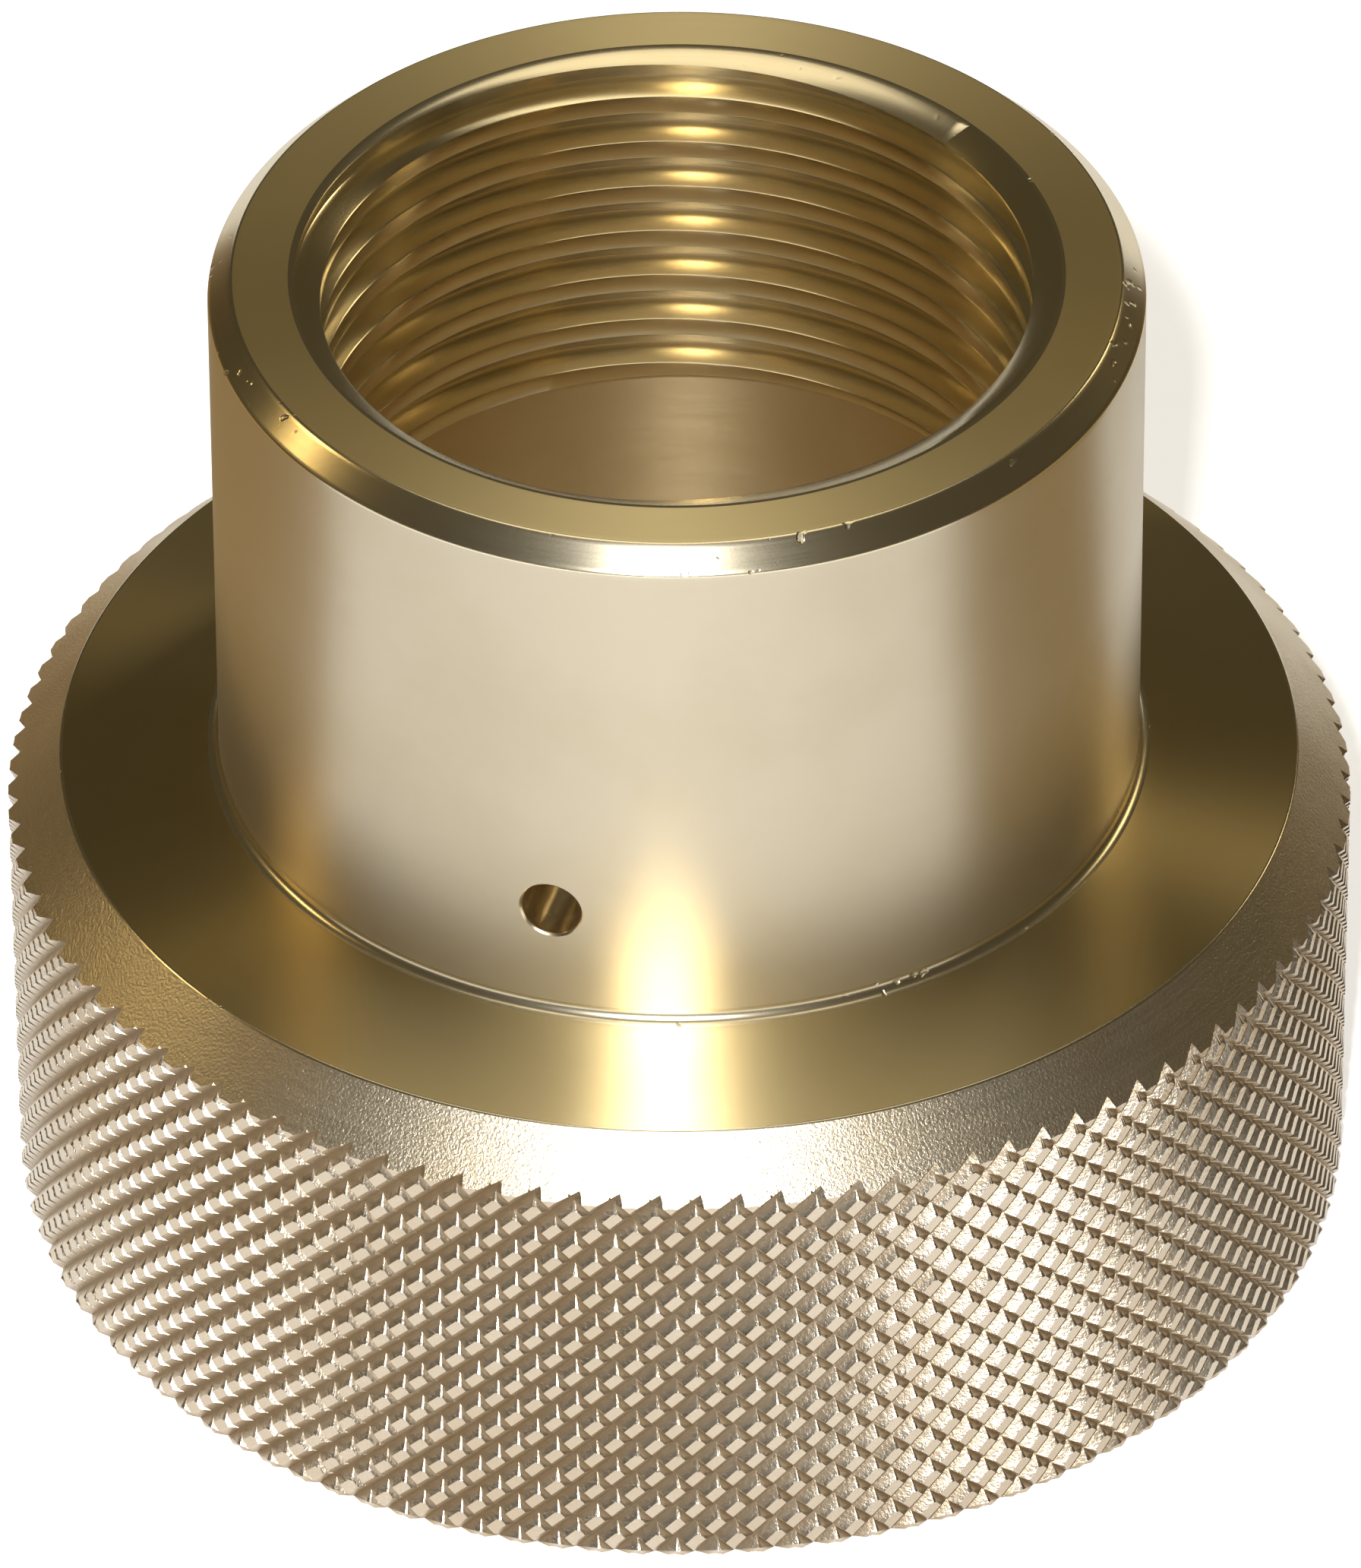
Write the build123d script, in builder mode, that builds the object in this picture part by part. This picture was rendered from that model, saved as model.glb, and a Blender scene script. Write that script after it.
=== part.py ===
"""Knurled thumb nut: one brass turning with a threaded neck over a diamond-knurled ring.

The origin is the centre of the underside, +Z runs along the axis towards the neck,
and all sizes are millimetres.
"""
from build123d import *
import os
from math import ceil, cos, pi, radians, sin, tan

# --- ring that the fingers turn ---
knurl_diameter = 73.1       # over the tips of the diamonds
knurl_depth = 0.55          # from the tips down to the grooves
knurl_teeth = 106           # grooves of one hand around the ring
knurl_helix_angle = 44.3    # grooves against the axis, in degrees
ring_height = 27.2          # underside to the rim of the upper face
rim_chamfer = 2.95          # 45 degree chamfer that trims the top of the knurl
foot_chamfer = 0.3          # edge break of the diamonds at the underside
face_fall = 0.6             # how far the upper face drops from the neck to its rim

# --- neck ---
neck_diameter = 50.0
neck_length = 31.5          # above the rim of the upper face
neck_chamfer = 1.25
root_fillet = 0.65          # where the neck meets the upper face

# --- bore and thread ---
thread_minor_diameter = 38.0
thread_depth = 1.5          # one side
thread_pitch = 3.0
thread_crest_width = 1.1
thread_flank_angle = 15.0   # each flank against a plane square to the axis
thread_start_depth = 3.5    # top face to the first groove, on the +Y side
thread_length = 21.1        # top face down to the plain bore
mouth_width = 1.2           # countersink in the top face, seen from above
mouth_slope = 30.0          # countersink against the top face
plain_bore_clearance = 0.3  # plain bore outside the thread's root, one side
bore_chamfer = 0.5          # at the underside

# --- cross hole in the neck wall, on the -Y side ---
cross_hole_diameter = 3.2
cross_hole_height = 7.3     # its centre above the rim of the upper face
cross_hole_break = 0.15     # edge break at its mouth

# --- radii and heights that follow ---
knurl_radius = knurl_diameter / 2
groove_radius = knurl_radius - knurl_depth
face_radius = knurl_radius - rim_chamfer
neck_radius = neck_diameter / 2
minor_radius = thread_minor_diameter / 2
mouth_radius = minor_radius + mouth_width
plain_radius = minor_radius + thread_depth + plain_bore_clearance
total_height = ring_height + neck_length
face_height = ring_height + face_fall
step_height = total_height - thread_length
mouth_depth = mouth_width * tan(radians(mouth_slope))
groove_mouth = thread_pitch - thread_crest_width
half_tooth = pi / knurl_teeth
half_diamond = knurl_radius * half_tooth / tan(radians(knurl_helix_angle))


def turned_outline():
    """Half section of the turning, its ring left proud for the knurl to trim."""
    proud = rim_chamfer
    return [
        (plain_radius + bore_chamfer, 0),
        (knurl_radius - foot_chamfer, 0),
        (knurl_radius + proud, foot_chamfer + proud),
        (knurl_radius + proud, ring_height - rim_chamfer - proud),
        (face_radius, ring_height),
        (neck_radius, face_height),
        (neck_radius, total_height - neck_chamfer),
        (neck_radius - neck_chamfer, total_height),
        (mouth_radius, total_height),
        (minor_radius, total_height - mouth_depth),
        (minor_radius, step_height),
        (plain_radius, step_height),
        (plain_radius, bore_chamfer),
    ]


def thread_turn(start_height):
    """One right-handed turn of the trapezoidal groove, starting at the given height."""
    overlap = thread_crest_width / 2
    taper = tan(radians(thread_flank_angle))
    half_mouth = groove_mouth / 2 + overlap * taper
    half_root = groove_mouth / 2 - thread_depth * taper
    centre_at_back = total_height - thread_start_depth - groove_mouth / 2
    start_angle = 90 + 360 * (start_height - centre_at_back) / thread_pitch
    with BuildPart(Plane.XY.rotated((0, 0, start_angle))) as turn:
        with BuildLine() as path:
            Helix(
                pitch=thread_pitch,
                height=thread_pitch,
                radius=minor_radius,
                center=(0, 0, start_height),
            )
        with BuildSketch(Plane(path.line @ 0, x_dir=(1, 0, 0), z_dir=path.line % 0)):
            with BuildLine():
                Polyline(
                    (-overlap, -half_mouth),
                    (thread_depth, -half_root),
                    (thread_depth, half_root),
                    (-overlap, half_mouth),
                    close=True,
                )
            make_face()
        sweep(is_frenet=True)
    return turn.part


def lattice_point(step, row, height=None):
    """Corner of the knurl: tips and groove crossings alternate by half teeth and half rows."""
    radius = groove_radius if (step + row) % 2 else knurl_radius
    angle = step * half_tooth
    z = row * half_diamond if height is None else height
    return (radius * cos(angle), radius * sin(angle), z)


def band_faces(row):
    """The triangles between one row of tips and the next, all the way round."""
    faces = []
    for step in range(2 * knurl_teeth):
        low, high = (row, row + 1) if (step + row) % 2 == 0 else (row + 1, row)
        tip = lattice_point(step, low)
        crossing = lattice_point(step, high)
        for side in (-1, 1):
            corners = [tip, lattice_point(step + side, low), crossing]
            faces.append(Face(Wire.make_polygon(corners)))
    return faces


def knurl_envelope():
    """Closed solid with the knurl on its outside, tall enough to take in the whole nut."""
    first_row = -1
    last_row = ceil((ring_height - rim_chamfer + knurl_depth) / half_diamond)
    crown = total_height + knurl_depth
    faces = []
    for row in range(first_row, last_row):
        faces += band_faces(row)
    steps = range(2 * knurl_teeth)
    for step in steps:
        wall = [
            lattice_point(step, last_row),
            lattice_point(step + 1, last_row),
            lattice_point(step + 1, last_row, crown),
            lattice_point(step, last_row, crown),
        ]
        faces.append(Face(Wire.make_polygon(wall)))
    foot = [lattice_point(step, first_row) for step in steps]
    head = [lattice_point(step, last_row, crown) for step in steps]
    faces += [Face(Wire.make_polygon(foot)), Face(Wire.make_polygon(head))]
    return Solid(Shell(faces))


def make_nut():
    """The whole nut: turned, threaded, drilled and knurled."""
    with BuildPart() as nut:
        with BuildSketch(Plane.XZ) as section:
            with BuildLine():
                Polyline(*turned_outline(), close=True)
            make_face()
            root = section.vertices().sort_by_distance((neck_radius, face_height))[0]
            fillet(root, root_fillet)
        revolve(axis=Axis.Z)

        turns = ceil(thread_length / thread_pitch) + 2
        for turn in range(turns):
            add(thread_turn(step_height + (turn - 1) * thread_pitch), mode=Mode.SUBTRACT)

        drill = Plane(origin=(0, 0, ring_height + cross_hole_height), z_dir=(0, -1, 0))
        with BuildSketch(drill):
            Circle(cross_hole_diameter / 2)
        extrude(amount=knurl_radius, mode=Mode.SUBTRACT)
        with BuildSketch(drill.offset(neck_radius - cross_hole_break)):
            Circle(cross_hole_diameter / 2)
        extrude(amount=2 * cross_hole_break, taper=-45, mode=Mode.SUBTRACT)

        add(knurl_envelope(), mode=Mode.INTERSECT)
    return nut.part


os.makedirs("parts", exist_ok=True)

knurled_nut = make_nut()
knurled_nut.label = "knurled_nut"
export_step(knurled_nut, "parts/knurled_nut.step")
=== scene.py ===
"""Knurled brass thumb nut on a pale floor: one turned body with a threaded neck and a diamond-knurled ring.

The nut is one closed mesh. Its axis is +Z, its underside is z = 0, and the cross hole is on the -Y side.
Sizes in the classes are millimetres; meshes are written in metres.
"""
import logging
from dataclasses import dataclass, field
from enum import Enum
from math import atan2, cos, pi, radians, sin, tan
from typing import Any, ClassVar, Sequence

import bpy
import numpy as np
from mathutils import Matrix, Vector


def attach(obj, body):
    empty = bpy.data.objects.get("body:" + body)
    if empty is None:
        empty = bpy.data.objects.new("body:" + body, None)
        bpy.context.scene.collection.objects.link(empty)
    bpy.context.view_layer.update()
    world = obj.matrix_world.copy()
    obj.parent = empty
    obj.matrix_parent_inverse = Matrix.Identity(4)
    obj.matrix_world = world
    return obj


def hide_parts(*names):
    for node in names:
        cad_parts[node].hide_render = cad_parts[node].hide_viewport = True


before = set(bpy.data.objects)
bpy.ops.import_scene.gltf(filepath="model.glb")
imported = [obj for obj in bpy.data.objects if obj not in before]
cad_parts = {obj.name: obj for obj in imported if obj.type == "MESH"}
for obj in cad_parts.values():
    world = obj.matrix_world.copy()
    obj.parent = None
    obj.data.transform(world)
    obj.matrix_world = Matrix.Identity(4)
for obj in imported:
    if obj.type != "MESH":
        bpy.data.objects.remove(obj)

LOG = logging.getLogger("thumb_nut")
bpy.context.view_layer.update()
Colour = tuple[float, float, float]

MM = 0.001                  # metres
MICROMETRE = 1e-6           # metres
PER_METRE = 1000.0          # millimetres
TINY = 1e-9                 # millimetres, for comparisons
WELD_STEPS = 2e4            # per millimetre: points that round to the same step are one point

# A small round between two sides has a middle point, which lies ROUND_ALONG on one side and ROUND_BACK off the
# other, and an end point ROUND_END along its side, all as shares of the round's size.
ROUND_ALONG, ROUND_BACK, ROUND_END = 0.25, 0.2, 1.1

# The unevenness of the knurl is the fraction of a large factor times a sine: steps of the sine's argument from one
# cross groove, main groove and point to the next, and the factors for the height of a land and the tilt of a crest.
SEED_CROSS, SEED_MAIN, SEED_POINT = 12.9898, 78.233, 37.719
SEED_HEIGHT, SEED_TILT = 43758.5453, 24634.6345

CREASE_ANGLE = 32.0         # degrees between two normals, from which the shading breaks
KNURL_CREASE_ANGLE = 14.0   # the same within the knurl


class Zone(Enum):
    """The differently finished surfaces of the nut, in the order of its material slots."""

    KNURL = 0
    RIM = 1
    FACE = 2
    NECK = 3
    EDGE = 4
    CROWN = 5
    THREAD = 6
    BORE = 7
    HOLE = 8


# --------------------------------------------------------------------------------------------------
# mesh arrays


def weld(points: np.ndarray, triangles: np.ndarray) -> tuple[np.ndarray, np.ndarray, np.ndarray]:
    """Merges points that are equal to a twentieth of a micrometre.

    Args:
        points: n x 3 positions in millimetres.
        triangles: m x 3 indices into those points.

    Returns:
        The positions, the triangles that keep three different corners, and which of the given ones those are.
    """
    keys = np.round(points * WELD_STEPS).astype(np.int64)
    _, first, back = np.unique(keys, axis=0, return_index=True, return_inverse=True)
    triangles = back.reshape(-1)[triangles]
    a, b, c = triangles.T
    whole = (a != b) & (b != c) & (c != a)
    return points[first], triangles[whole], whole


@dataclass
class Patches:
    """Surface patches gathered as arrays, then welded into one mesh."""

    points: list[np.ndarray] = field(default_factory=list)
    triangles: list[np.ndarray] = field(default_factory=list)
    zones: list[np.ndarray] = field(default_factory=list)
    count: int = 0

    def add(self, points: np.ndarray, triangles: np.ndarray, zone: Zone) -> None:
        """Keeps one patch.

        Args:
            points: n x 3 positions in millimetres.
            triangles: m x 3 indices into those points, anticlockwise from outside.
            zone: the finish of the patch.
        """
        self.points.append(points.reshape(-1, 3))
        self.triangles.append(triangles.reshape(-1, 3) + self.count)
        self.zones.append(np.full(len(triangles.reshape(-1, 3)), zone.value))
        self.count += len(points.reshape(-1, 3))

    def welded(self) -> tuple[np.ndarray, np.ndarray, np.ndarray]:
        """Merges equal points and drops the triangles that this closes up.

        Returns:
            The positions, the triangles and the zone number of each triangle.
        """
        points, triangles, whole = weld(np.concatenate(self.points), np.concatenate(self.triangles))
        return points, triangles, np.concatenate(self.zones)[whole]


def around(radius: np.ndarray, angle: np.ndarray, height: np.ndarray) -> np.ndarray:
    """Points at (radius cos angle, radius sin angle, height), the arrays broadcast together.

    Args:
        radius: distances from the axis.
        angle: angles from +X in radians.
        height: heights above the underside.

    Returns:
        An array with one more axis, of length 3.
    """
    radius, angle, height = np.broadcast_arrays(radius, angle, height)
    return np.stack([radius * np.cos(angle), radius * np.sin(angle), height], axis=-1)


def lathed(section: Sequence[tuple[float, float]], angle: np.ndarray) -> np.ndarray:
    """Points of a surface of revolution: each (radius, height) of the section turned to each angle.

    Args:
        section: radius and height of each ring.
        angle: the columns' angles.

    Returns:
        Positions as rings x columns x 3.
    """
    profile = np.array(section)
    return around(profile[:, 0, None], angle[None, :], profile[:, 1, None])


def scattered(seed: np.ndarray, factor: float) -> np.ndarray:
    """Numbers from 0 to 1 that look random but never change: the fraction of |factor sin seed|."""
    return np.abs(np.sin(seed) * factor) % 1.0


def ring_grid(points: np.ndarray, closed: bool = True) -> np.ndarray:
    """Triangles of a grid of rows by columns, whose last column joins its first where it is closed.

    Each cell is cut along the diagonal from its lower left to its upper right corner.

    Args:
        points: rows x columns x 3, with rows going up or inwards and columns anticlockwise from above.
        closed: false where the last column already lies on the first.

    Returns:
        The triangles as an array of index triples.
    """
    rows, columns = points.shape[:2]
    index = np.arange(rows * columns).reshape(rows, columns)
    following = np.roll(index, -1, axis=1)
    if not closed:
        index, following = index[:, :-1], following[:, :-1]
    low, low_next, high, high_next = index[:-1], following[:-1], index[1:], following[1:]
    first = np.stack([low, low_next, high_next], axis=-1)
    second = np.stack([low, high_next, high], axis=-1)
    return np.concatenate([first.reshape(-1, 3), second.reshape(-1, 3)])


def clipped(points: np.ndarray, triangles: np.ndarray, outside: np.ndarray) -> tuple[np.ndarray, np.ndarray]:
    """Cuts a mesh where a value given at its points passes zero, and keeps the side where it is negative.

    A cut edge gets one new point at start + (end - start) share, with share = value at start / (value at start -
    value at end). A triangle with one corner kept stays a triangle; one with two corners kept becomes two.

    Args:
        points: n x 3 positions.
        triangles: m x 3 indices.
        outside: the n values.

    Returns:
        The positions with the new ones at the end, and the triangles.
    """
    kept = outside[triangles] <= 0.0
    inner = kept.sum(axis=1)
    lead = np.where(inner == 1, np.argmax(kept, axis=1), np.argmin(kept, axis=1))
    turned = triangles[np.arange(len(triangles))[:, None], (lead[:, None] + np.arange(3)) % 3]
    one, two = turned[inner == 1], turned[inner == 2]
    pairs = np.concatenate([one[:, [0, 1]], one[:, [0, 2]], two[:, [0, 1]], two[:, [0, 2]]])
    pairs = np.sort(pairs, axis=1)
    cuts, number = np.unique(pairs, axis=0, return_inverse=True)
    start, end = outside[cuts[:, 0]], outside[cuts[:, 1]]
    share = (start / (start - end))[:, None]
    new = points[cuts[:, 0]] + (points[cuts[:, 1]] - points[cuts[:, 0]]) * share
    number = number.reshape(-1) + len(points)
    n1, n2 = len(one), len(two)
    one_b, one_c = number[:n1], number[n1:2 * n1]
    two_b, two_c = number[2 * n1:2 * n1 + n2], number[2 * n1 + n2:]
    parts = [
        triangles[inner == 3],
        np.stack([one[:, 0], one_b, one_c], axis=-1),
        np.stack([two_b, two[:, 1], two[:, 2]], axis=-1),
        np.stack([two_b, two[:, 2], two_c], axis=-1),
    ]
    return np.concatenate([points, new]), np.concatenate(parts)


def loose_rings(points: np.ndarray, triangles: np.ndarray) -> tuple[np.ndarray, np.ndarray]:
    """The two rings of edges that only one triangle has, on a band round the axis.

    Each loose edge leads from one point to the next. Doubling the step again and again tells how many steps every
    point is from the last one of its ring, and that puts the ring in order. Each ring starts near angle zero.

    Args:
        points: n x 3 positions.
        triangles: m x 3 indices, anticlockwise from outside.

    Returns:
        The positions of the upper and of the lower ring, in order, both anticlockwise from above.
    """
    edges = np.concatenate([triangles[:, [0, 1]], triangles[:, [1, 2]], triangles[:, [2, 0]]])
    numbers = edges[:, 0] * len(points) + edges[:, 1]
    loose = edges[~np.isin(numbers, edges[:, 1] * len(points) + edges[:, 0])]
    angle = np.arctan2(points[:, 1], points[:, 0]) % (2 * pi)
    rings = []
    for ends, sign in ((loose[:, ::-1], 1.0), (loose, -1.0)):
        here = ends[sign * (points[ends[:, 0], 2] - points[:, 2].mean()) > 0]
        follower = np.arange(len(points))
        follower[here[:, 0]] = here[:, 1]
        start = here[np.argmin(angle[here[:, 0]]), 0]
        last = here[here[:, 1] == start][0, 0]
        follower[last] = last
        steps = np.where(np.arange(len(points)) == last, 0, 1)
        for _ in range(int(np.ceil(np.log2(len(here)))) + 1):
            steps = steps + steps[follower]
            follower = follower[follower]
        ring = here[follower[here[:, 0]] == last, 0]
        rings.append(points[ring[np.argsort(-steps[ring])]])
    return rings[0], rings[1]


def zipped(lower: np.ndarray, upper: np.ndarray) -> tuple[np.ndarray, np.ndarray]:
    """Joins two closed rings of points with different counts, each in order and starting near angle zero.

    Going round, the ring whose next point comes first takes the next step, and each step makes one triangle with
    the point that the other ring has reached. A point that lies back behind the one before it counts as level with
    it.

    Args:
        lower: n x 3 positions.
        upper: m x 3 positions.

    Returns:
        The positions of both rings and n + m triangles, anticlockwise from outside.
    """
    turns = []
    for ring in (lower, upper):
        turn = np.unwrap(np.arctan2(ring[:, 1], ring[:, 0]))
        turn = np.maximum.accumulate(turn - turn[0] + turn[0] % (2 * pi))
        turns.append(np.append(turn, turn[0] + 2 * pi))
    n, m = len(lower), len(upper)
    low, high = np.arange(n), np.arange(m)
    reached = np.clip(np.searchsorted(turns[1], turns[0][1:], side="right") - 1, 0, m)
    met = np.clip(np.searchsorted(turns[0], turns[1][1:], side="left") - 1, 0, n)
    first = np.stack([low, (low + 1) % n, n + reached % m], axis=-1)
    second = np.stack([met % n, n + (high + 1) % m, n + high], axis=-1)
    return np.concatenate([lower, upper]), np.concatenate([first, second])


def arc(centre: tuple[float, float], radius: float, start: float, end: float,
        steps: int) -> list[tuple[float, float]]:
    """Points of a round in the half section: centre + radius (cos t, sin t), t going evenly from start to end.

    Args:
        centre: radius and height of its middle.
        radius: of the round.
        start: first angle in degrees.
        end: last angle in degrees.
        steps: how many pieces it is cut into.

    Returns:
        The steps + 1 points.
    """
    turn = np.radians(np.linspace(start, end, steps + 1))
    return [(centre[0] + radius * cos(t), centre[1] + radius * sin(t)) for t in turn]


# --------------------------------------------------------------------------------------------------
# the nut


@dataclass(frozen=True)
class NutSizes:
    """Driving dimensions of the nut, in millimetres and degrees, and what follows from them."""

    knurl_diameter: float = 73.1
    knurl_depth: float = 0.55
    knurl_teeth: int = 106
    knurl_helix_angle: float = 44.3
    ring_height: float = 27.2
    rim_chamfer: float = 2.95
    foot_chamfer: float = 0.3
    face_fall: float = 0.6
    neck_diameter: float = 50.0
    neck_length: float = 31.5
    neck_chamfer: float = 1.25
    root_fillet: float = 0.65
    thread_minor_diameter: float = 38.0
    thread_depth: float = 1.5
    thread_pitch: float = 3.0
    thread_crest_width: float = 1.1
    thread_flank_angle: float = 15.0
    thread_start_depth: float = 3.5
    thread_length: float = 21.1
    mouth_width: float = 1.2
    mouth_slope: float = 30.0
    plain_bore_clearance: float = 0.3
    bore_chamfer: float = 0.5
    cross_hole_diameter: float = 3.2
    cross_hole_height: float = 7.3
    cross_hole_break: float = 0.15

    @property
    def knurl_radius(self) -> float:
        """Radius over the tips of the diamonds."""
        return self.knurl_diameter / 2

    @property
    def neck_radius(self) -> float:
        """Outer radius of the neck."""
        return self.neck_diameter / 2

    @property
    def minor_radius(self) -> float:
        """Radius of the thread's crests."""
        return self.thread_minor_diameter / 2

    @property
    def root_radius(self) -> float:
        """Radius of the thread's roots."""
        return self.minor_radius + self.thread_depth

    @property
    def half_groove(self) -> float:
        """Half the width of the thread's groove at the crests."""
        return (self.thread_pitch - self.thread_crest_width) / 2

    @property
    def lip_radius(self) -> float:
        """Radius at which the top face passes to the lip round the mouth."""
        return self.root_radius + 0.2

    @property
    def mouth_radius(self) -> float:
        """Radius of the countersink in the top face."""
        return self.minor_radius + self.mouth_width

    @property
    def plain_radius(self) -> float:
        """Radius of the plain bore below the thread."""
        return self.root_radius + self.plain_bore_clearance

    @property
    def total_height(self) -> float:
        """Underside to top face."""
        return self.ring_height + self.neck_length

    @property
    def face_height(self) -> float:
        """Height of the ring's upper face where it meets the neck."""
        return self.ring_height + self.face_fall

    @property
    def step_height(self) -> float:
        """Height at which the thread ends and the plain bore starts."""
        return self.total_height - self.thread_length

    @property
    def hole_height(self) -> float:
        """Height of the cross hole's centre."""
        return self.ring_height + self.cross_hole_height

    @property
    def hole_angle(self) -> float:
        """Angle of the cross hole's axis from +X, in radians: the -Y side."""
        return 1.5 * pi

    @property
    def half_tooth(self) -> float:
        """Half the angle from one diamond to the next, in radians."""
        return pi / self.knurl_teeth

    @property
    def half_diamond(self) -> float:
        """Half the height of a diamond."""
        return self.knurl_radius * self.half_tooth / tan(radians(self.knurl_helix_angle))


@dataclass
class KnurledBand:
    """The diamond knurl on the outside of the ring, from the underside to the rim chamfer.

    Each diamond has a flat land, two sides in the deep main grooves, which climb to the right, two sides in the
    shallower cross grooves, and a narrow blunt crest that runs up from the land between its two upper sides.
    """

    sizes: NutSizes
    land: float = 0.36          # half width of the land between main grooves, as a share of half their spacing
    cross_land: float = 0.66    # the same between cross grooves
    cross_depth: float = 0.42
    blunt: float = 0.24         # width of the crest, as a share of half a tooth
    rounding: float = 0.028     # how far the crest falls from its middle to its sides
    dimple: float = 0.03        # hollow in the middle of a land
    unevenness: float = 0.02    # random tilt of the crests; the lands' height varies half as much
    spare_height: float = 1.0   # how far above its shoulder the knurl is laid out before it is cut
    spare_rows: int = 2         # rows of diamonds laid out beyond each cut
    fade_end: float = 0.4       # height above the shoulder where the fading of the cross grooves would end
    fade_length: float = 2.0
    fade_least: float = 0.3     # share of their depth that the cross grooves keep

    first_on_land: ClassVar[int] = 10       # numbers of a diamond's points
    first_on_crest: ClassVar[int] = 13
    last_on_crest: ClassVar[int] = 15

    def corners(self) -> np.ndarray:
        """Places and depths of the 17 points of a diamond.

        The sides fall evenly from the land to the groove bottoms. The crest is a plane that falls evenly from the
        land's upper left corner to the upper end of the main groove, where it is as deep as the groove.

        Returns:
            Rows of place across the main grooves, place across the cross grooves (-1 to 1) and depth.
        """
        deep, shallow = self.sizes.knurl_depth, self.cross_depth
        a, c, w, r = self.land, self.cross_land, self.blunt, self.rounding
        side = a + (1.0 - a) * shallow / deep
        start = a + c - w
        foot = shallow * (2.0 - start) / deep + start - 1.0
        half = (foot + 1.0) / 2.0
        halfway = (deep + shallow) / 2.0 - r
        return np.array([
            [-1, -1, deep], [-half, -1, halfway], [-foot, -1, shallow], [side, -1, shallow], [1, -1, deep],
            [1, 1, deep], [side, 1, shallow], [-foot, 1, shallow], [-half, 1, halfway], [-1, 1, deep],
            [-a, -c, 0], [a, -c, 0], [a, c, 0], [w - a, c, r], [w / 2 - a, c - w / 2, 0], [-a, c - w, r],
            [0, 0, self.dimple],
        ])

    @staticmethod
    def faces() -> np.ndarray:
        """Triangles of a diamond, by the numbers of its points.

        Returns:
            Index triples: main groove sides, cross groove sides, crest and land.
        """
        return np.array([
            [0, 1, 10], [1, 2, 10], [0, 10, 15], [0, 15, 9], [3, 4, 11], [11, 4, 5], [11, 5, 12], [12, 5, 6],
            [2, 3, 11], [2, 11, 10], [13, 12, 6], [13, 6, 7],
            [15, 14, 8], [15, 8, 9], [14, 13, 7], [14, 7, 8],
            [16, 10, 11], [16, 11, 12], [16, 12, 13], [16, 13, 14], [16, 14, 15], [16, 15, 10],
        ])

    def laid_out(self, shoulder: float) -> tuple[np.ndarray, np.ndarray]:
        """Lays out whole diamonds to past both ends of the knurl.

        Diamond (i, j) has its middle where the main coordinate is 2 j and the cross coordinate is 2 i. The angle is
        (main + cross) / 2 half teeth and the height is (cross - main) / 2 half diamonds. The cross grooves grow
        shallower towards the shoulder, but stay no shallower than the main groove beside them. Near the underside,
        the radius is held back by the edge break.

        Args:
            shoulder: height at which the rim chamfer starts.

        Returns:
            The positions and the triangles, welded.
        """
        sizes = self.sizes
        corners, faces = self.corners(), self.faces()
        high = int((shoulder + self.spare_height) / sizes.half_diamond) + self.spare_rows
        i = np.arange(sizes.knurl_teeth)[:, None, None]
        j = i + np.arange(-high, self.spare_rows + 1)[None, :, None]
        point = np.arange(len(corners))[None, None, :]
        main, cross = 2 * j + corners[:, 0], 2 * i + corners[:, 1]
        height = (cross - main) / 2.0 * sizes.half_diamond

        across_main, across_cross = np.abs(corners[:, 0]), np.abs(corners[:, 1])
        in_cross = (across_cross == 1.0) & (across_main < 1.0)
        main_side = sizes.knurl_depth * np.clip((across_main - self.land) / (1.0 - self.land), 0.0, 1.0)
        fading = np.clip((shoulder + self.fade_end - height) / self.fade_length, self.fade_least, 1.0)
        depth = np.broadcast_to(corners[:, 2], height.shape)
        depth = np.where(in_cross, np.minimum(depth, np.maximum(depth * fading, main_side)), depth)

        seed = (i % sizes.knurl_teeth) * SEED_CROSS + (j % sizes.knurl_teeth) * SEED_MAIN
        lowering = scattered(seed, SEED_HEIGHT)
        tilt = scattered(seed + point * SEED_POINT, SEED_TILT)
        on_crest = (point >= self.first_on_crest) & (point <= self.last_on_crest)
        depth = depth + np.where(point >= self.first_on_land, self.unevenness * 0.5 * lowering, 0.0)
        depth = depth + np.where(on_crest, self.unevenness * tilt, 0.0)

        edge_break = sizes.knurl_radius - sizes.foot_chamfer + np.maximum(height, 0)
        radius = np.minimum(sizes.knurl_radius - depth, edge_break)
        points = around(radius, (main + cross) / 2.0 * sizes.half_tooth, height)
        tiles = points.shape[0] * points.shape[1]
        triangles = (faces[None] + len(corners) * np.arange(tiles)[:, None, None]).reshape(-1, 3)
        points, triangles, _ = weld(points.reshape(-1, 3), triangles)
        return points, triangles

    def build(self, patches: Patches) -> tuple[np.ndarray, np.ndarray]:
        """Adds the knurl, cut at the top by the rim chamfer's cone and at the foot by the underside.

        Args:
            patches: where the band goes.

        Returns:
            The points of its ragged top ring and of its bottom ring.
        """
        sizes = self.sizes
        shoulder = sizes.ring_height - sizes.rim_chamfer
        points, triangles = self.laid_out(shoulder)
        over = np.hypot(points[:, 0], points[:, 1]) - sizes.knurl_radius + points[:, 2] - shoulder
        points, triangles = clipped(points, triangles, over)
        points, triangles = clipped(points, triangles, -points[:, 2] - TINY)
        points[:, 2] = np.maximum(points[:, 2], 0.0)
        used, triangles = np.unique(triangles, return_inverse=True)
        points, triangles, _ = weld(points[used], triangles.reshape(-1, 3))
        patches.add(points, triangles, Zone.KNURL)
        return loose_rings(points, triangles)


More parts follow.
